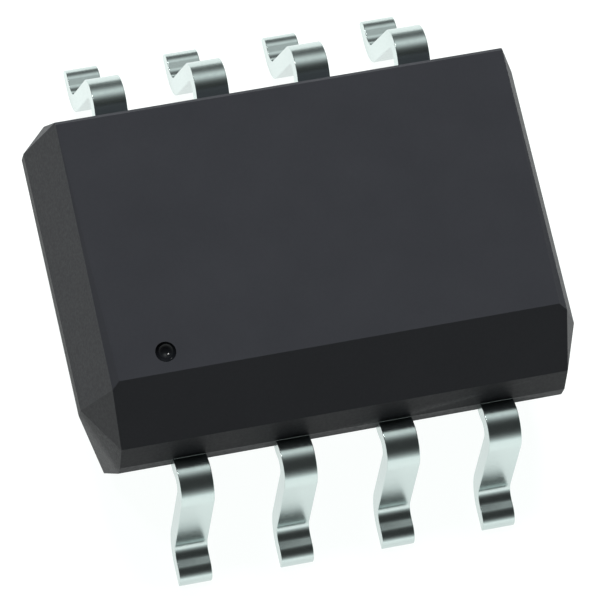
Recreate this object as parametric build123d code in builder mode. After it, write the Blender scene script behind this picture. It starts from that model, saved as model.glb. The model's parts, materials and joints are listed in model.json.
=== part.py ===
"""Eight-lead small-outline package with gull-wing leads, built from its lead frame out.

Sizes are in millimetres. X runs along the two lead rows, Y across them and Z up.
The origin is the middle of the package on the plane that the feet are soldered to.
Pins 1 to 4 run from left to right on the -Y side, pins 5 to 8 back from right to left.
"""
import os
from math import hypot, radians, tan

from build123d import *

# Lead rows
lead_pitch = 1.27
leads_per_row = 4
lead_width = 0.41
sheet_thickness = 0.22
lead_edge_radius = 0.03

# Formed shape of a lead, seen from the end of the package
lead_plane_height = 1.42
shoulder_start_gap = 0.035
shoulder_reach = 0.365
shoulder_rise = 0.209
shoulder_start_radius = 0.12
shoulder_radius = 0.22
leg_angle = 10.4
foot_length = 0.49
foot_radius = 0.29
foot_tip_radius = 0.18

# Moulded body: an upright land as tall as the lead sheet, and walls that lean in above and below it
body_length = 6.14
body_width = 4.38
body_top = 2.50
standoff = 0.25
draft_angle = 17
near_corner_reach = 0.313
near_corner_run = 0.79
far_corner_reach = 0.316
far_corner_run = 0.30
bevel_run = 0.49
bevel_angle = 41.5
end_edge_run = 0.09
end_edge_drop = 0.065
far_edge_run = 0.03
far_edge_drop = 0.04

# Pin 1 dimple in the top face, and the ejector marks underneath
dimple_diameter = 0.25
dimple_depth = 0.08
dimple_from_end = 0.69
dimple_from_bevel = 0.256
ejector_mark_diameter = 0.90
ejector_mark_depth = 0.03
ejector_mark_spacing = 3.20

# Lead frame inside the body
finger_tip_gap = 0.25
finger_tab_width = 0.80
finger_tab_length = 0.50
finger_tab_corner = 0.08
paddle_length = 3.10
paddle_width = 2.10
paddle_corner = 0.15
paddle_downset = 0.25
tie_bar_width = 0.30
tie_bar_end_cover = 0.24
tie_bar_bend_gap = 0.12
tie_bar_bend_run = 0.30
tie_bar_radius = 0.15

# Chip and its bonds
die_length = 1.60
die_width = 1.30
die_thickness = 0.28
die_attach_thickness = 0.03
die_attach_margin = 0.05
bond_pad_pitch = 0.40
bond_pad_inset = 0.12
wire_diameter = 0.03
wire_ball_diameter = 0.09
wire_ball_height = 0.03
wire_foot_diameter = 0.08
wire_foot_inset = 0.18
wire_loop_height = 0.22
wire_loop_lead_in = 0.15
wire_loop_radius = 0.06

# Places that follow from the sizes above
half_length = body_length / 2
half_width = body_width / 2
sheet_top = lead_plane_height + sheet_thickness / 2
sheet_bottom = lead_plane_height - sheet_thickness / 2
row_length = (leads_per_row - 1) * lead_pitch
finger_tip_y = paddle_width / 2 + finger_tip_gap
paddle_plane_height = lead_plane_height - paddle_downset
paddle_top = paddle_plane_height + sheet_thickness / 2
die_bottom = paddle_top + die_attach_thickness
die_top = die_bottom + die_thickness
draft_slope = tan(radians(draft_angle))
bevel_slope = tan(radians(bevel_angle))
top_half_length = half_length - (body_top - sheet_top) * draft_slope
top_half_width = half_width - (body_top - sheet_top) * draft_slope
base_half_length = half_length - (sheet_bottom - standoff) * draft_slope
base_half_width = half_width - (sheet_bottom - standoff) * draft_slope
bevel_edge_y = -(top_half_width - bevel_run)
bevel_drop_at_land = (half_width + bevel_edge_y) * bevel_slope
bevel_foot_rise = (body_top - sheet_top - bevel_drop_at_land) / (1 - draft_slope * bevel_slope)

os.makedirs("parts", exist_ok=True)


def save(part, name):
    """Give a finished piece its name and write it to its own file."""
    part.label = name
    export_step(part, f"parts/{name}.step")
    return part


def pin_place(pin):
    """Middle of a pin along X, and the side of the body it leaves: -1 for pins 1 to 4, +1 for the rest."""
    if pin <= leads_per_row:
        return (pin - 1) * lead_pitch - row_length / 2, -1
    return row_length / 2 - (pin - 1 - leads_per_row) * lead_pitch, 1


def trim(first, second, third):
    """Cut the body along the plane through three points and keep the side that holds its middle."""
    first, second, third = Vector(first), Vector(second), Vector(third)
    cut = Plane(first, x_dir=second - first, z_dir=(second - first).cross(third - first))
    middle = cut.to_local_coords(Vector(0, 0, lead_plane_height))
    split(bisect_by=cut, keep=Keep.TOP if middle.Z > 0 else Keep.BOTTOM)


# One lead, made at X = 0 on the +Y side: a flat finger inside, then the formed gull wing
bend_start = half_width + shoulder_start_gap
knee_y = bend_start + shoulder_reach
knee_z = lead_plane_height + shoulder_rise
foot_plane = sheet_thickness / 2
heel_y = knee_y + (knee_z - foot_plane) * tan(radians(leg_angle))
neck_start = finger_tip_y + finger_tab_length

with BuildPart() as lead:
    with BuildLine(Plane.YZ) as lead_line:
        FilletPolyline(
            (neck_start - finger_tab_corner, lead_plane_height),
            (bend_start, lead_plane_height),
            (knee_y, knee_z),
            (heel_y, foot_plane),
            (heel_y + foot_length, foot_plane),
            radius=[shoulder_start_radius, shoulder_radius, foot_radius],
        )
    with BuildSketch(lead_line.line ^ 0):
        Rectangle(sheet_thickness, lead_width)
    sweep()
    # The die rolls the tip's upper edge over and breaks the sheet's other edges
    tip = lead.faces().sort_by(Axis.Y)[-1]
    fillet(tip.edges().sort_by(Axis.Z)[-1], foot_tip_radius)
    side_faces = lead.faces().filter_by(Axis.X)
    fillet(side_faces.edges(), lead_edge_radius)
    with BuildSketch(Plane.XY.offset(lead_plane_height - sheet_thickness / 2)):
        with Locations((0, finger_tip_y + finger_tab_length / 2)):
            RectangleRounded(finger_tab_width, finger_tab_length, finger_tab_corner)
    extrude(amount=sheet_thickness)

leads = []
for pin in range(1, 2 * leads_per_row + 1):
    pin_x, side = pin_place(pin)
    turn = 0 if side > 0 else 180
    leads.append(save(lead.part.moved(Location((pin_x, 0, 0), (0, 0, turn))), f"lead_{pin}"))

# Die paddle with the two tie bars that held it in the frame, set down below the fingers
bar_start = paddle_length / 2
bar_end = half_length - tie_bar_end_cover
bend_x = bar_start + tie_bar_bend_gap

with BuildPart() as die_paddle:
    with BuildSketch(Plane.XY.offset(paddle_plane_height - sheet_thickness / 2)):
        RectangleRounded(paddle_length, paddle_width, paddle_corner)
    extrude(amount=sheet_thickness)
    for end in (-1, 1):
        with BuildLine(Plane.XZ) as bar_line:
            FilletPolyline(
                (end * (bar_start - sheet_thickness), paddle_plane_height),
                (end * bend_x, paddle_plane_height),
                (end * (bend_x + tie_bar_bend_run), lead_plane_height),
                (end * bar_end, lead_plane_height),
                radius=tie_bar_radius,
            )
        with BuildSketch(bar_line.line ^ 0):
            Rectangle(sheet_thickness, tie_bar_width)
        sweep()
save(die_paddle.part, "die_paddle")

# Adhesive and chip
with BuildPart() as die_attach:
    with BuildSketch(Plane.XY.offset(paddle_top)):
        RectangleRounded(
            die_length + 2 * die_attach_margin, die_width + 2 * die_attach_margin, die_attach_margin
        )
    extrude(amount=die_attach_thickness)
save(die_attach.part, "die_attach")

with BuildPart() as silicon_die:
    with BuildSketch(Plane.XY.offset(die_bottom)):
        Rectangle(die_length, die_width)
    extrude(amount=die_thickness)
save(silicon_die.part, "silicon_die")

# Bond wires: a ball on the chip, a loop, and a foot on the finger of each pin
drop = sheet_top - die_top
bond_wires = []
for pin in range(1, 2 * leads_per_row + 1):
    pin_x, side = pin_place(pin)
    pad_x = pin_x / lead_pitch * bond_pad_pitch
    pad_y = side * (die_width / 2 - bond_pad_inset)
    across = side * (finger_tip_y + wire_foot_inset) - pad_y
    along = pin_x - pad_x
    run = hypot(along, across)
    wire_plane = Plane((pad_x, pad_y, die_top), x_dir=(along, across, 0), z_dir=(across, -along, 0))
    with BuildPart() as bond_wire:
        with Locations((pad_x, pad_y, die_top)):
            Cylinder(wire_ball_diameter / 2, wire_ball_height, align=(Align.CENTER, Align.CENTER, Align.MIN))
        with Locations((pad_x + along, pad_y + across, sheet_top)):
            Cylinder(wire_foot_diameter / 2, wire_ball_height, align=(Align.CENTER, Align.CENTER, Align.MIN))
        with BuildLine(wire_plane) as wire_line:
            FilletPolyline(
                (0, wire_ball_height / 2),
                (0, wire_loop_height),
                (wire_loop_lead_in, wire_loop_height),
                (run - wire_foot_diameter / 2, drop + wire_ball_height),
                (run, drop + wire_diameter * 0.6),
                radius=wire_loop_radius,
            )
        with BuildSketch(wire_line.line ^ 0):
            Circle(wire_diameter / 2)
        sweep()
    bond_wires.append(save(bond_wire.part, f"bond_wire_{pin}"))

# Moulded body round all of it, cut from a block that has the outline of the land
near_wall_x = half_length - near_corner_reach
near_corner_y = -half_width + near_corner_run
far_wall_x = half_length - far_corner_reach
far_corner_y = half_width - far_corner_run

with BuildPart() as mould_body:
    with BuildSketch(Plane.XY.offset(standoff)):
        Polygon(
            (-near_wall_x, -half_width),
            (near_wall_x, -half_width),
            (half_length, near_corner_y),
            (half_length, far_corner_y),
            (far_wall_x, half_width),
            (-far_wall_x, half_width),
            (-half_length, far_corner_y),
            (-half_length, near_corner_y),
            align=None,
        )
    extrude(amount=body_top - standoff)

    # Drafted walls and far corners, above the land and then below it
    for land_z, face_z, face_x, face_y in (
        (sheet_top, body_top, top_half_length, top_half_width),
        (sheet_bottom, standoff, base_half_length, base_half_width),
    ):
        trim((-near_wall_x, -half_width, land_z), (near_wall_x, -half_width, land_z), (0, -face_y, face_z))
        trim((-far_wall_x, half_width, land_z), (far_wall_x, half_width, land_z), (0, face_y, face_z))
        for end in (-1, 1):
            near_corner = (end * half_length, near_corner_y, land_z)
            far_corner = (end * half_length, far_corner_y, land_z)
            trim(near_corner, far_corner, (end * face_x, 0, face_z))
            trim(far_corner, (end * far_wall_x, half_width, land_z), (end * face_x, face_y, face_z))

    # The long bevel that marks the pin 1 side
    bevel_foot_y = -half_width + bevel_foot_rise * draft_slope
    bevel_foot_z = sheet_top + bevel_foot_rise
    trim((-1, bevel_edge_y, body_top), (1, bevel_edge_y, body_top), (0, bevel_foot_y, bevel_foot_z))

    # Near corners: one facet below the land, two above it that run up beside the bevel
    head_z = body_top - end_edge_drop
    head_x = top_half_length + end_edge_drop * draft_slope
    head_y = bevel_edge_y - end_edge_drop / bevel_slope
    for end in (-1, 1):
        base_corner = (end * base_half_length, -base_half_width, standoff)
        under_corner = (end * half_length, near_corner_y, sheet_bottom)
        trim(under_corner, (end * near_wall_x, -half_width, sheet_bottom), base_corner)
        land_corner = (end * half_length, near_corner_y, sheet_top)
        foot_corner = (end * near_wall_x, bevel_foot_y, bevel_foot_z)
        head_corner = (end * head_x, head_y, head_z)
        trim(land_corner, (end * near_wall_x, -half_width, sheet_top), foot_corner)
        trim(land_corner, foot_corner, head_corner)
        # Eased top edge of the end, widest at the bevel and gone at the far corner
        eased_corner = (end * (head_x - end_edge_run), bevel_edge_y, body_top)
        trim(head_corner, eased_corner, (end * top_half_length, top_half_width, body_top))

    # Eased top edge of the far side
    eased_y = top_half_width - far_edge_run
    trim((-1, eased_y, body_top), (1, eased_y, body_top),
         (0, top_half_width + far_edge_drop * draft_slope, body_top - far_edge_drop))

    # Round dimple beside pin 1
    dimple_radius = (dimple_diameter ** 2 / 4 + dimple_depth ** 2) / (2 * dimple_depth)
    dimple_x = -(top_half_length - dimple_from_end)
    dimple_y = bevel_edge_y + dimple_from_bevel
    with Locations((dimple_x, dimple_y, body_top - dimple_depth + dimple_radius)):
        Sphere(dimple_radius, mode=Mode.SUBTRACT)
    # Shallow marks that the mould's ejector pins leave underneath
    with Locations((-ejector_mark_spacing / 2, 0, standoff), (ejector_mark_spacing / 2, 0, standoff)):
        Cylinder(
            ejector_mark_diameter / 2,
            ejector_mark_depth,
            align=(Align.CENTER, Align.CENTER, Align.MIN),
            mode=Mode.SUBTRACT,
        )
    # The compound fills every gap between the pieces inside
    add(leads + bond_wires + [die_paddle.part, die_attach.part, silicon_die.part], mode=Mode.SUBTRACT)
save(mould_body.part, "mould_body")
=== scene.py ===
"""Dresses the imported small-outline package: moulded body, tin-plated leads and the parts inside."""

import json
import logging
import math
from dataclasses import dataclass, field
from enum import Enum

import bmesh
import bpy
from mathutils import Matrix, Vector

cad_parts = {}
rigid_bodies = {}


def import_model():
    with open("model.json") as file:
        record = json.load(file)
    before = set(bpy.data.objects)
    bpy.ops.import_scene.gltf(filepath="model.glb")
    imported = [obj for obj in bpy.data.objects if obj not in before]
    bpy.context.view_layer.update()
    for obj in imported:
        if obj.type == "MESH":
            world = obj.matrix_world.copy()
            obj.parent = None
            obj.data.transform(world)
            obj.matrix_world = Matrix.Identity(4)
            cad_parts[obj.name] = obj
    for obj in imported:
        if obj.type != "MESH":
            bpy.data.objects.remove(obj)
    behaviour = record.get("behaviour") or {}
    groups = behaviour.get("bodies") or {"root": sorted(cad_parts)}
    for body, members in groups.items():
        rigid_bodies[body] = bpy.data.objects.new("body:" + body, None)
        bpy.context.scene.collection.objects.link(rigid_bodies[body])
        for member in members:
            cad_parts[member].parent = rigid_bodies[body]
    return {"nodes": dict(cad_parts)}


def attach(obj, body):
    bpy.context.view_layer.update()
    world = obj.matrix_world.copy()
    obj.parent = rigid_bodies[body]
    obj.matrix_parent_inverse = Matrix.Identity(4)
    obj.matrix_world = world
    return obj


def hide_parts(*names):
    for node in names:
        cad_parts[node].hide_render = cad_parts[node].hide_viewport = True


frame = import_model()

log = logging.getLogger("small_outline_package")

MM = 0.001
ROOT = "root"


def mm(value: float) -> float:
    """Turns millimetres to Blender's metres.

    Args:
        value: A length in millimetres.

    Returns:
        The length in metres.
    """
    return value * MM


def linear(hex_colour: str) -> tuple[float, float, float, float]:
    """Turns an sRGB hex colour to linear light.

    Args:
        hex_colour: Six hex digits, with or without a leading hash.

    Returns:
        Red, green, blue and alpha as Blender's shaders take them.
    """
    digits = hex_colour.lstrip("#")
    channels = [int(digits[start:start + 2], 16) / 255 for start in (0, 2, 4)]
    # The sRGB standard's own curve: straight near black, a power above it
    red, green, blue = (
        value / 12.92 if value <= 0.04045 else ((value + 0.055) / 1.055) ** 2.4
        for value in channels
    )
    return red, green, blue, 1.0


def add_node(
    tree: bpy.types.NodeTree, kind: str, settings: dict | None = None, links: dict | None = None,
) -> bpy.types.Node:
    """Adds one node with its settings, input values and links.

    Args:
        tree: The node tree that the node joins.
        kind: Blender's name for the node's type.
        settings: Node properties by attribute name, and input values by socket name or index.
        links: Output sockets of other nodes, by this node's input name or index.

    Returns:
        The new node.
    """
    node = tree.nodes.new(kind)
    for key, value in (settings or {}).items():
        if isinstance(key, str) and hasattr(node, key):
            setattr(node, key, value)
        else:
            node.inputs[key].default_value = value
    for key, source in (links or {}).items():
        tree.links.new(source, node.inputs[key])
    return node


@dataclass(frozen=True)
class Polish:
    """A small round spot that a polished pin of the mould leaves, with sizes in millimetres; it is
    glossier, and its darker colour is partly painted shade in its hollow.
    """

    centre: tuple[float, float, float]
    radius: float
    # Dark partly as painted shade in the spot's hollow
    colour: str
    roughness: float
    specular: float


@dataclass(frozen=True)
class Finish:
    """A surface with a fine grain: what the piece is made of and how its surface was made."""

    name: str
    colour: str
    worn_colour: str
    metallic: float
    roughness: tuple[float, float]
    grain_mm: float
    mottle_mm: float
    bump: float
    relief_mm: float = 0.002
    specular: float = 0.5
    polished: Polish | None = None
    mottle_detail: float = 3.0
    mottle_breakup: float = 0.55
    grain_detail: float = 2.0
    grain_breakup: float = 0.6
    grain_range: tuple[float, float] = (0.3, 0.7)

    def make(self) -> bpy.types.Material:
        """Builds the procedural material.

        Returns:
            The material, patterned on Object coordinates.
        """
        material = bpy.data.materials.new(self.name)
        material.use_nodes = True
        tree = material.node_tree
        tree.nodes.clear()
        place = add_node(tree, "ShaderNodeTexCoord")
        mottle = add_node(
            tree, "ShaderNodeTexNoise",
            {
                "Scale": 1 / mm(self.mottle_mm),
                "Detail": self.mottle_detail,
                "Roughness": self.mottle_breakup,
            },
            {"Vector": place.outputs["Object"]},
        )
        grain = add_node(
            tree, "ShaderNodeTexNoise",
            {
                "Scale": 1 / mm(self.grain_mm),
                "Detail": self.grain_detail,
                "Roughness": self.grain_breakup,
            },
            {"Vector": place.outputs["Object"]},
        )
        colour = add_node(
            tree, "ShaderNodeMix",
            {"data_type": "RGBA", 6: linear(self.colour), 7: linear(self.worn_colour)},
            {0: mottle.outputs["Fac"]},
        )
        gloss = add_node(
            tree, "ShaderNodeMapRange",
            {
                "From Min": self.grain_range[0], "From Max": self.grain_range[1],
                "To Min": self.roughness[0], "To Max": self.roughness[1],
            },
            {"Value": grain.outputs["Fac"]},
        )
        relief = add_node(
            tree, "ShaderNodeBump",
            {"Strength": self.bump, "Distance": mm(self.relief_mm)},
            {"Height": grain.outputs["Fac"]},
        )
        surface = add_node(
            tree, "ShaderNodeBsdfPrincipled",
            {"Metallic": self.metallic, "Specular IOR Level": self.specular},
            {
                "Base Color": colour.outputs[2],
                "Roughness": gloss.outputs["Result"],
                "Normal": relief.outputs["Normal"],
            },
        )
        if self.polished:
            self.add_spot(self.polished, tree, place, surface)
        add_node(tree, "ShaderNodeOutputMaterial", {}, {"Surface": surface.outputs["BSDF"]})
        return material

    @staticmethod
    def add_spot(
        spot: Polish, tree: bpy.types.NodeTree, place: bpy.types.Node, surface: bpy.types.Node,
    ) -> None:
        """Makes one round spot glossier, and darker partly as painted shade in its hollow.

        Args:
            spot: The spot.
            tree: The material's node tree.
            place: The node that gives Object coordinates.
            surface: The shader to change.
        """
        centre = tuple(mm(value) for value in spot.centre)
        away = add_node(
            tree, "ShaderNodeVectorMath",
            {"operation": "DISTANCE", 1: centre}, {0: place.outputs["Object"]},
        )
        inside = add_node(
            tree, "ShaderNodeMath",
            {"operation": "LESS_THAN", 1: mm(spot.radius)}, {0: away.outputs["Value"]},
        )
        # The spot's dark colour is partly painted shade in the dimple's hollow
        for socket, kind, value in (
            ("Base Color", "RGBA", linear(spot.colour)),
            ("Roughness", "FLOAT", spot.roughness),
            ("Specular IOR Level", "FLOAT", spot.specular),
        ):
            mixed = add_node(tree, "ShaderNodeMix", {"data_type": kind}, {0: inside.outputs[0]})
            # The Mix node keeps its colour and its plain number in different sockets
            first, second, result = (6, 7, 2) if kind == "RGBA" else (2, 3, 0)
            target = surface.inputs[socket]
            if target.links:
                tree.links.new(target.links[0].from_socket, mixed.inputs[first])
            else:
                mixed.inputs[first].default_value = target.default_value
            mixed.inputs[second].default_value = value
            tree.links.new(mixed.outputs[result], target)


# The dimple beside pin 1: a polished pin of the mould forms it. Its near-black colour is partly the
# glossy compound and partly painted shade in the hollow
PIN_ONE_DIMPLE_POLISH_AND_SHADE = Polish((-2.083, -1.147, 2.5), 0.127, "08090B", 0.12, 0.5)
# Black epoxy full of silica filler, from a finely spark-eroded mould: matt, with a very fine grain
MOULD_COMPOUND = Finish(
    "epoxy_mould_compound_moulded", "1B1C1F", "202124", 0.0, (0.50, 0.64), 0.035, 0.8, 0.15,
    specular=0.2, polished=PIN_ONE_DIMPLE_POLISH_AND_SHADE,
)
# Tin plated over copper alloy sheet: a bright white metal with a faintly cloudy reflection
TIN_PLATE = Finish("tin_electroplated", "CDD9D7", "C7D3D1", 1.0, (0.23, 0.27), 0.05, 0.4, 0.004)
# Rolled copper alloy sheet, left bare inside the body
LEAD_FRAME_COPPER = Finish(
    "copper_alloy_rolled", "C8805A", "B56E4B", 1.0, (0.28, 0.38), 0.04, 0.5, 0.08,
)
# Epoxy paste full of silver flake, cured under the chip
DIE_ADHESIVE = Finish("silver_epoxy_cured", "A8A7A2", "8E8D88", 0.3, (0.45, 0.60), 0.02, 0.2, 0.3)
# Silicon, polished on a wafer and sawn
SILICON = Finish("silicon_polished", "4A4D58", "565A66", 0.6, (0.08, 0.14), 0.02, 0.4, 0.02)
# Gold wire, drawn and bonded
BOND_GOLD = Finish("gold_drawn", "F2C46B", "E3B158", 1.0, (0.15, 0.22), 0.01, 0.1, 0.05)


class Row(Enum):
    """The two rows of leads, each with its leads' turn about the vertical."""

    PIN_ONE_SIDE = math.pi
    FAR_SIDE = 0.0


ROW_INPUTS = (
    ("Lead Pitch", "NodeSocketFloat"),
    ("Leads Per Row", "NodeSocketInt"),
    ("Lead Width", "NodeSocketFloat"),
    ("Sheet Thickness", "NodeSocketFloat"),
    ("Finger Width", "NodeSocketFloat"),
    ("Finger Length", "NodeSocketFloat"),
    ("Finger Corner", "NodeSocketFloat"),
    ("Finger Place", "NodeSocketVector"),
    ("Bend Steps", "NodeSocketInt"),
    ("Plating", "NodeSocketMaterial"),
)


@dataclass
class GullWingLeads:
    """The formed leads, with sizes in millimetres."""

    pitch: float = 1.27
    per_row: int = 4
    width: float = 0.41
    thickness: float = 0.22
    edge_radius: float = 0.03
    edge_steps: int = 3
    edge_least_turn: float = 50.0
    plane_height: float = 1.42
    root_y: float = 1.72
    finger_size: tuple[float, float] = (0.80, 0.50)
    finger_corner: float = 0.08
    finger_y: float = 1.55
    bend_start: float = 2.225
    shoulder_reach: float = 0.365
    shoulder_rise: float = 0.209
    leg_angle: float = 10.4
    foot_length: float = 0.49
    root_radius: float = 0.12
    shoulder_radius: float = 0.22
    foot_radius: float = 0.29
    tip_radius: float = 0.18
    bend_steps: int = 16
    finger_steps: int = 6
    weld_gap: float = 0.0005

    def centre_line(self) -> list[tuple[Vector, float]]:
        """Corners of the lead's centre line on the far side.

        Returns:
            Each corner's place across the package and up, with its bend radius, in millimetres.
        """
        knee_y = self.bend_start + self.shoulder_reach
        knee_z = self.plane_height + self.shoulder_rise
        foot_z = self.thickness / 2
        heel_y = knee_y + (knee_z - foot_z) * math.tan(math.radians(self.leg_angle))
        return [
            (Vector((self.root_y, self.plane_height)), 0.0),
            (Vector((self.bend_start, self.plane_height)), self.root_radius),
            (Vector((knee_y, knee_z)), self.shoulder_radius),
            (Vector((heel_y, foot_z)), self.foot_radius),
            (Vector((heel_y + self.foot_length, foot_z)), 0.0),
        ]

    def side_outline(self) -> list[tuple[Vector, float]]:
        """Goes once round the lead as it is seen from the end of the package.

        Returns:
            The corners of the sheet's top and underside, with the radius of each, in millimetres.
        """
        line = self.centre_line()
        top, underside = [], []
        for index, (place, radius) in enumerate(line):
            before = line[max(index - 1, 0)][0]
            after = line[min(index + 1, len(line) - 1)][0]
            into = (place - before).normalized() if index else (after - place).normalized()
            out = (after - place).normalized() if index < len(line) - 1 else into
            normal_in = Vector((-into.y, into.x))
            normal_out = Vector((-out.y, out.x))
            spread = 1 + normal_in.dot(normal_out)
            reach = (normal_in + normal_out) * (self.thickness / 2 / spread)
            bends_down = into.x * out.y - into.y * out.x < 0
            grow = self.thickness / 2 if bends_down else -self.thickness / 2
            top.append((place + reach, max(radius + grow, 0.0) if radius else 0.0))
            underside.append((place - reach, max(radius - grow, 0.0) if radius else 0.0))
        top[-1] = (top[-1][0], self.tip_radius)
        return top + underside[::-1]

    def outline_curve(self) -> bpy.types.Object:
        """Draws the side outline as a closed curve that carries its corner radii.

        Returns:
            A curve object with one closed poly spline.
        """
        curve = bpy.data.curves.new("lead_side_outline", "CURVE")
        curve.dimensions = "3D"
        corners = self.side_outline()
        spline = curve.splines.new("POLY")
        spline.points.add(len(corners) - 1)
        spline.use_cyclic_u = True
        for point, (place, radius) in zip(spline.points, corners):
            point.co = (mm(place.x), mm(place.y), 0.0, 1.0)
            point.radius = mm(radius)
        outline = bpy.data.objects.new("formed_leads", curve)
        bpy.context.scene.collection.objects.link(outline)
        return outline

    def tree(self) -> bpy.types.NodeTree:
        """Builds the Geometry Nodes tree that cuts one lead and sets it out in both rows.

        Returns:
            The node group, with its sizes as named inputs.
        """
        tree = bpy.data.node_groups.new("gull_wing_rows", "GeometryNodeTree")
        face = tree.interface
        face.new_socket("Geometry", in_out="INPUT", socket_type="NodeSocketGeometry")
        for name, kind in ROW_INPUTS:
            face.new_socket(name, in_out="INPUT", socket_type=kind)
        face.new_socket("Geometry", in_out="OUTPUT", socket_type="NodeSocketGeometry")
        given = add_node(tree, "NodeGroupInput").outputs
        whole = add_node(tree, "GeometryNodeMeshBoolean", {"operation": "UNION", "solver": "EXACT"})
        for part in (self.formed_sheet(tree, given), self.finger(tree, given)):
            tree.links.new(part.outputs[0], whole.inputs["Mesh 2"])
        places = self.row_places(tree, given)
        both = add_node(tree, "GeometryNodeJoinGeometry")
        for row in Row:
            set_out = add_node(
                tree, "GeometryNodeInstanceOnPoints", {"Rotation": (0.0, 0.0, row.value)},
                {"Points": places.outputs["Mesh"], "Instance": whole.outputs["Mesh"]},
            )
            tree.links.new(set_out.outputs[0], both.inputs[0])
        real = add_node(tree, "GeometryNodeRealizeInstances", {}, {"Geometry": both.outputs[0]})
        plated = add_node(
            tree, "GeometryNodeSetMaterial", {},
            {"Geometry": real.outputs[0], "Material": given["Plating"]},
        )
        add_node(tree, "NodeGroupOutput", {}, {0: plated.outputs[0]})
        return tree

    def formed_sheet(
        self, tree: bpy.types.NodeTree, given: bpy.types.NodeOutputs,
    ) -> bpy.types.Node:
        """Bends the outline's corners, fills it and stands it up across the package.

        Args:
            tree: The node tree.
            given: The group's inputs.

        Returns:
            The node that gives the lead on the far side, without its finger.
        """
        corner_radius = add_node(tree, "GeometryNodeInputRadius")
        bent = add_node(
            tree, "GeometryNodeFilletCurve", {"mode": "POLY", "Limit Radius": True},
            {
                "Curve": given["Geometry"],
                "Count": given["Bend Steps"],
                "Radius": corner_radius.outputs[0],
            },
        )
        solid = self.plate(tree, bent, given["Lead Width"])
        # The width is centred on the lead's place in its row
        half = add_node(
            tree, "ShaderNodeMath", {"operation": "MULTIPLY", 1: -0.5}, {0: given["Lead Width"]},
        )
        centre = add_node(tree, "ShaderNodeCombineXYZ", {}, {"Z": half.outputs[0]})
        centred = add_node(
            tree, "GeometryNodeTransform", {},
            {"Geometry": solid.outputs[0], "Translation": centre.outputs[0]},
        )
        return add_node(
            tree, "GeometryNodeTransform", {"Rotation": (math.pi / 2, 0.0, math.pi / 2)},
            {"Geometry": centred.outputs[0]},
        )

    def finger(self, tree: bpy.types.NodeTree, given: bpy.types.NodeOutputs) -> bpy.types.Node:
        """Makes the finger inside the body, that the bond wire stands on.

        Args:
            tree: The node tree.
            given: The group's inputs.

        Returns:
            The node that gives the finger of the lead on the far side.
        """
        tab = add_node(
            tree, "GeometryNodeCurvePrimitiveQuadrilateral", {"mode": "RECTANGLE"},
            {"Width": given["Finger Width"], "Height": given["Finger Length"]},
        )
        corners = add_node(
            tree, "GeometryNodeFilletCurve", {"mode": "POLY", "Count": self.finger_steps},
            {"Curve": tab.outputs[0], "Radius": given["Finger Corner"]},
        )
        solid = self.plate(tree, corners, given["Sheet Thickness"])
        return add_node(
            tree, "GeometryNodeTransform", {},
            {"Geometry": solid.outputs[0], "Translation": given["Finger Place"]},
        )

    @staticmethod
    def row_places(tree: bpy.types.NodeTree, given: bpy.types.NodeOutputs) -> bpy.types.Node:
        """Sets out the places of one row, centred on the package.

        Args:
            tree: The node tree.
            given: The group's inputs.

        Returns:
            The node that gives one point for each lead.
        """
        # The row is as long as the pitch times one less than the number of leads
        last = add_node(
            tree, "ShaderNodeMath", {"operation": "SUBTRACT", 1: 1.0}, {0: given["Leads Per Row"]},
        )
        length = add_node(
            tree, "ShaderNodeMath", {"operation": "MULTIPLY"},
            {0: last.outputs[0], 1: given["Lead Pitch"]},
        )
        start = add_node(
            tree, "ShaderNodeMath", {"operation": "MULTIPLY", 1: -0.5}, {0: length.outputs[0]},
        )
        start_place = add_node(tree, "ShaderNodeCombineXYZ", {}, {"X": start.outputs[0]})
        step = add_node(tree, "ShaderNodeCombineXYZ", {}, {"X": given["Lead Pitch"]})
        return add_node(
            tree, "GeometryNodeMeshLine", {"mode": "OFFSET"},
            {
                "Count": given["Leads Per Row"],
                "Start Location": start_place.outputs[0],
                "Offset": step.outputs[0],
            },
        )

    def plate(
        self, tree: bpy.types.NodeTree, outline: bpy.types.Node, height: bpy.types.NodeSocket,
    ) -> bpy.types.Node:
        """Fills a flat closed curve and makes it a closed plate.

        Args:
            tree: The node tree.
            outline: The node that gives the curve.
            height: How far the plate rises from the curve.

        Returns:
            The node that gives the plate.
        """
        face = add_node(
            tree, "GeometryNodeFillCurve", {"mode": "NGONS"}, {"Curve": outline.outputs[0]},
        )
        top = add_node(
            tree, "GeometryNodeExtrudeMesh", {"mode": "FACES", "Individual": False},
            {"Mesh": face.outputs[0], "Offset Scale": height},
        )
        under = add_node(tree, "GeometryNodeFlipFaces", {}, {"Mesh": face.outputs[0]})
        closed = add_node(tree, "GeometryNodeJoinGeometry")
        for part in (top, under):
            tree.links.new(part.outputs[0], closed.inputs[0])
        return add_node(
            tree, "GeometryNodeMergeByDistance", {"Distance": mm(self.weld_gap)},
            {"Geometry": closed.outputs[0]},
        )

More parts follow.
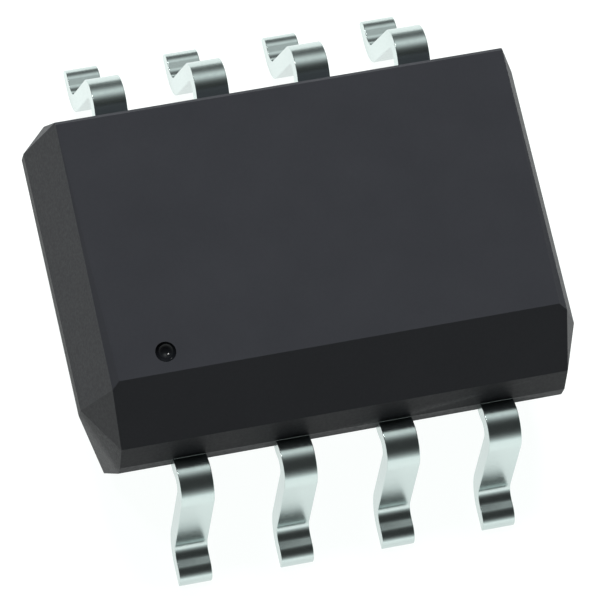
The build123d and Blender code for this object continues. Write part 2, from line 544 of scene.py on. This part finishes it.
    def build(self, plating: bpy.types.Material) -> bpy.types.Object:
        """Makes the eight leads as one plain mesh on the root body.

        Args:
            plating: The leads' material.

        Returns:
            The finished piece.
        """
        outline = self.outline_curve()
        grow = outline.modifiers.new("rows", "NODES")
        grow.node_group = self.tree()
        sizes = {
            "Lead Pitch": mm(self.pitch),
            "Leads Per Row": self.per_row,
            "Lead Width": mm(self.width),
            "Sheet Thickness": mm(self.thickness),
            "Finger Width": mm(self.finger_size[0]),
            "Finger Length": mm(self.finger_size[1]),
            "Finger Corner": mm(self.finger_corner),
            "Finger Place": (0.0, mm(self.finger_y), mm(self.plane_height - self.thickness / 2)),
            "Bend Steps": self.bend_steps,
            "Plating": plating,
        }
        for item in grow.node_group.interface.items_tree:
            if item.item_type == "SOCKET" and item.in_out == "INPUT" and item.name in sizes:
                grow[item.identifier] = sizes[item.name]
        ready = outline.evaluated_get(bpy.context.evaluated_depsgraph_get())
        mesh = bpy.data.meshes.new_from_object(ready)
        bpy.data.objects.remove(outline)
        mesh.name = "formed_leads"
        piece = bpy.data.objects.new("formed_leads", mesh)
        bpy.context.scene.collection.objects.link(piece)
        round_edges(piece, self.edge_radius, self.edge_steps, self.edge_least_turn)
        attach(piece, ROOT)
        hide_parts(*[f"lead_{pin}" for pin in range(1, 2 * self.per_row + 1)])
        log.info("formed leads: %d faces", len(piece.data.polygons))
        return piece


def round_edges(piece: bpy.types.Object, radius: float, steps: int, degrees: float) -> None:
    """Rounds a mesh's corners and applies the rounding.

    Args:
        piece: The object to round.
        radius: The radius, in millimetres.
        steps: Faces across each rounding.
        degrees: Edges that turn less than this are left alone.
    """
    bevel = piece.modifiers.new("rounding", "BEVEL")
    bevel.width = mm(radius)
    bevel.segments = steps
    bevel.limit_method = "ANGLE"
    bevel.angle_limit = math.radians(degrees)
    ready = piece.evaluated_get(bpy.context.evaluated_depsgraph_get())
    rounded = bpy.data.meshes.new_from_object(ready)
    piece.modifiers.clear()
    piece.data = rounded
    shade_evenly(rounded)


def shade_evenly(mesh: bpy.types.Mesh, crisp: float = 50.0) -> None:
    """Shades a rounded mesh smooth, with its wide faces flat up to the rounding.

    Args:
        mesh: The mesh to shade.
        crisp: Faces that turn more than this from their neighbours stay crisp, in degrees.
    """
    shared = [Vector() for _ in mesh.vertices]
    for face in mesh.polygons:
        # Squared areas let the wide faces decide over the narrow ones of the rounding
        pull = face.normal * (face.area / MM ** 2) ** 2
        for index in face.vertices:
            shared[index] += pull
    shared = [normal.normalized() for normal in shared]
    least = math.cos(math.radians(crisp))
    corners = [
        shared[index] if shared[index].dot(face.normal) > least else face.normal.copy()
        for face in mesh.polygons for index in face.vertices
    ]
    mesh.polygons.foreach_set("use_smooth", [True] * len(mesh.polygons))
    mesh.normals_split_custom_set(corners)


@dataclass
class MouldedBody:
    """The moulded body with its outer corners rounded as a mould leaves them, in millimetres."""

    node: str = "mould_body"
    corner_radius: float = 0.018
    corner_steps: int = 3
    least_turn: float = 8.0
    outer_face_area: float = 0.005
    tolerance: float = 0.001
    weld_gap: float = 0.0001
    flat_turn: float = 0.3

    def outer_edges(self, shell: bmesh.types.BMesh) -> list[bmesh.types.BMEdge]:
        """Finds the outer corners: edges between two faces that the whole body lies behind.

        Args:
            shell: The body's mesh.

        Returns:
            The edges to round.
        """
        outside = set()
        for face in shell.faces:
            if face.calc_area() > self.outer_face_area * MM ** 2:
                corner = face.verts[0].co
                ahead = max((vert.co - corner).dot(face.normal) for vert in shell.verts)
                if ahead < mm(self.tolerance):
                    outside.add(face)
        return [
            edge for edge in shell.edges
            if len(edge.link_faces) == 2 and outside.issuperset(edge.link_faces)
            and edge.calc_face_angle() > math.radians(self.least_turn)
        ]

    def build(self, compound: bpy.types.Material) -> bpy.types.Object:
        """Makes the rounded body.

        Args:
            compound: The body's material.

        Returns:
            The finished piece.
        """
        mesh = frame["nodes"][self.node].data.copy()
        mesh.name = "moulded_body"
        shell = bmesh.new()
        shell.from_mesh(mesh)
        bmesh.ops.remove_doubles(shell, verts=shell.verts, dist=mm(self.weld_gap))
        bmesh.ops.dissolve_limit(
            shell, angle_limit=math.radians(self.flat_turn), verts=shell.verts, edges=shell.edges,
        )
        shell.normal_update()
        corners = self.outer_edges(shell)
        bmesh.ops.bevel(
            shell, geom=corners, offset=mm(self.corner_radius), offset_type="OFFSET",
            segments=self.corner_steps, profile=0.5, affect="EDGES", clamp_overlap=True,
        )
        bmesh.ops.triangulate(shell, faces=shell.faces)
        open_edges = sum(not edge.is_manifold for edge in shell.edges)
        shell.to_mesh(mesh)
        shell.free()
        shade_evenly(mesh)
        mesh.materials.clear()
        mesh.materials.append(compound)
        piece = bpy.data.objects.new("moulded_body", mesh)
        bpy.context.scene.collection.objects.link(piece)
        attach(piece, ROOT)
        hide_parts(self.node)
        log.info(
            "moulded body: %d corners rounded, %d faces, %d open edges",
            len(corners), len(mesh.polygons), open_edges,
        )
        return piece


@dataclass
class HiddenParts:
    """The lead frame, chip and bonds sealed in the body, dressed where they stand."""

    finishes: dict[str, Finish] = field(default_factory=lambda: {
        "die_paddle": LEAD_FRAME_COPPER,
        "die_attach": DIE_ADHESIVE,
        "silicon_die": SILICON,
        "bond_wire_": BOND_GOLD,
    })

    def dress(self) -> None:
        """Gives each hidden node the material of what it is."""
        for start, finish in self.finishes.items():
            material = finish.make()
            for name, node in frame["nodes"].items():
                if name.startswith(start):
                    give(node, material)
                    log.info("%s: %s", name, finish.name)


def give(piece: bpy.types.Object, material: bpy.types.Material) -> None:
    """Puts one material on all of a piece.

    Args:
        piece: The object, with its material slots.
        material: The material.
    """
    for material_slot in piece.material_slots:
        material_slot.material = material


@dataclass(frozen=True)
class Lamp:
    """A square softbox that faces the package, with sizes in millimetres and power in watts."""

    name: str
    place: tuple[float, float, float]
    size: float
    power: float
    mirrored: bool


# Lights the matt surfaces only: its mirror image would run as a hard line along the leads' edges
KEY_LAMP = Lamp("key_lamp", (10, 165, 178), 110, 2.1, mirrored=False)
# Small and bright, for a glint in the polished dimple
SPARK_LAMP = Lamp("spark_lamp", (-98, 100, 194), 30, 0.11, mirrored=True)


@dataclass
class Studio:
    """A light table, a light tent, the lamps and the camera, with sizes in millimetres."""

    floor_size: float = 900.0
    floor_gap: float = 0.004
    floor_colour: str = "505251"
    floor_roughness: float = 0.9
    floor_light: str = "FAFDFC"
    floor_glow: float = 1.0
    tent_light: str = "F0F6F5"
    tent_rim: float = 0.78
    rim_glow: float = 1.2
    rim_falloff: float = 2.6
    sides_from: float = 0.3
    front_from: float = -0.85
    side_glow: float = 0.25
    overhead: float = 0.045
    patch_toward: tuple[float, float, float] = (0.195, 0.52, 0.83)
    patch_focus: float = 20.0
    patch_glow: float = 1.10
    lamps: tuple[Lamp, ...] = (KEY_LAMP, SPARK_LAMP)
    camera_place: tuple[float, float, float] = (-14.01053, -20.17755, 67.88732)
    camera_right: tuple[float, float, float] = (0.965931, -0.219947, 0.136386)
    camera_down: tuple[float, float, float] = (-0.168796, -0.934895, -0.312216)
    camera_reach: tuple[float, float] = (1.0, 5000.0)
    focal_px: float = 5862.28
    photo_px: float = 600.0
    sensor: float = 36.0

    def set_up(self) -> None:
        """Adds the floor, the camera, the lamps and the tent."""
        self.add_floor()
        self.add_camera()
        for lamp in self.lamps:
            self.add_lamp(lamp)
        self.add_tent()
        bpy.context.scene.view_settings.view_transform = "Standard"
        log.info("studio ready")

    def add_tent(self) -> None:
        """Hangs a light tent: bright at its rim, dark overhead, with a soft patch at the back."""
        world = bpy.data.worlds.new("light_tent")
        world.use_nodes = True
        tree = world.node_tree
        background = tree.nodes["Background"]
        background.inputs["Color"].default_value = linear(self.tent_light)
        toward = add_node(tree, "ShaderNodeTexCoord").outputs["Generated"]
        height = add_node(tree, "ShaderNodeSeparateXYZ", {}, {"Vector": toward})
        fall = add_node(
            tree, "ShaderNodeMapRange",
            {"From Min": 0.0, "From Max": self.tent_rim, "To Min": self.rim_glow, "To Max": 0.0},
            {"Value": height.outputs["Z"]},
        )
        rise = add_node(
            tree, "ShaderNodeMath", {"operation": "POWER", 1: self.rim_falloff},
            {0: fall.outputs["Result"]},
        )
        # The rim is brightest at the front and fades round the sides
        near = add_node(
            tree, "ShaderNodeMapRange",
            {
                "From Min": self.sides_from, "From Max": self.front_from,
                "To Min": self.side_glow, "To Max": 1.0,
            },
            {"Value": height.outputs["Y"]},
        )
        rim = add_node(
            tree, "ShaderNodeMath", {"operation": "MULTIPLY"},
            {0: rise.outputs[0], 1: near.outputs["Result"]},
        )
        facing = add_node(
            tree, "ShaderNodeVectorMath",
            {"operation": "DOT_PRODUCT", 1: Vector(self.patch_toward).normalized()}, {0: toward},
        )
        front = add_node(
            tree, "ShaderNodeMath", {"operation": "MAXIMUM", 1: 0.0}, {0: facing.outputs["Value"]},
        )
        patch = add_node(
            tree, "ShaderNodeMath", {"operation": "POWER", 1: self.patch_focus},
            {0: front.outputs[0]},
        )
        lit = add_node(
            tree, "ShaderNodeMath", {"operation": "MULTIPLY_ADD", 1: self.patch_glow},
            {0: patch.outputs[0], 2: rim.outputs[0]},
        )
        total = add_node(
            tree, "ShaderNodeMath", {"operation": "ADD", 1: self.overhead}, {0: lit.outputs[0]},
        )
        tree.links.new(total.outputs[0], background.inputs["Strength"])
        bpy.context.scene.world = world

    def add_floor(self) -> None:
        """Lays a softly glowing floor at the height of the feet."""
        half = mm(self.floor_size / 2)
        mesh = bpy.data.meshes.new("floor")
        # A hair under the feet, so that their soles aren't in its plane
        low = -mm(self.floor_gap)
        corners = [(-half, -half, low), (half, -half, low), (half, half, low), (-half, half, low)]
        mesh.from_pydata(corners, [], [(0, 1, 2, 3)])
        floor = bpy.data.objects.new("floor", mesh)
        bpy.context.scene.collection.objects.link(floor)
        # Opal acrylic sheet, lit from below
        material = bpy.data.materials.new("opal_acrylic_lit")
        material.use_nodes = True
        tree = material.node_tree
        surface = tree.nodes["Principled BSDF"]
        surface.inputs["Base Color"].default_value = linear(self.floor_colour)
        surface.inputs["Roughness"].default_value = self.floor_roughness
        surface.inputs["Emission Color"].default_value = linear(self.floor_light)
        surface.inputs["Emission Strength"].default_value = self.floor_glow
        # Clear from below, so that the underside of the part can be looked at
        side = add_node(tree, "ShaderNodeNewGeometry")
        clear = add_node(tree, "ShaderNodeBsdfTransparent")
        seen = add_node(
            tree, "ShaderNodeMixShader", {},
            {0: side.outputs["Backfacing"], 1: surface.outputs["BSDF"], 2: clear.outputs["BSDF"]},
        )
        tree.links.new(seen.outputs["Shader"], tree.nodes["Material Output"].inputs["Surface"])
        mesh.materials.append(material)

    def add_camera(self) -> None:
        """Puts the camera where the photograph was taken from."""
        right = Vector(self.camera_right)
        up = -Vector(self.camera_down)
        back = right.cross(up)
        data = bpy.data.cameras.new("photo_camera")
        data.sensor_width = self.sensor
        data.lens = self.focal_px / self.photo_px * self.sensor
        data.clip_start, data.clip_end = (mm(reach) for reach in self.camera_reach)
        camera = bpy.data.objects.new("photo_camera", data)
        place = Vector(self.camera_place) * MM
        turn = Matrix((right, up, back)).transposed()
        camera.matrix_world = Matrix.Translation(place) @ turn.to_4x4()
        bpy.context.scene.collection.objects.link(camera)
        bpy.context.scene.camera = camera

    @staticmethod
    def add_lamp(lamp: Lamp) -> None:
        """Hangs one lamp so that it faces the package.

        Args:
            lamp: The lamp.
        """
        data = bpy.data.lights.new(lamp.name, "AREA")
        data.shape = "SQUARE"
        data.size = mm(lamp.size)
        data.energy = lamp.power
        light = bpy.data.objects.new(lamp.name, data)
        place = Vector(lamp.place) * MM
        turn = place.to_track_quat("Z", "Y").to_matrix()
        light.matrix_world = Matrix.Translation(place) @ turn.to_4x4()
        light.visible_glossy = lamp.mirrored
        bpy.context.scene.collection.objects.link(light)


def main() -> None:
    logging.basicConfig(level=logging.INFO, format="%(name)s: %(message)s")
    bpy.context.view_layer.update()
    MouldedBody().build(MOULD_COMPOUND.make())
    GullWingLeads().build(TIN_PLATE.make())
    HiddenParts().dress()
    Studio().set_up()


if __name__ == "__main__":
    main()
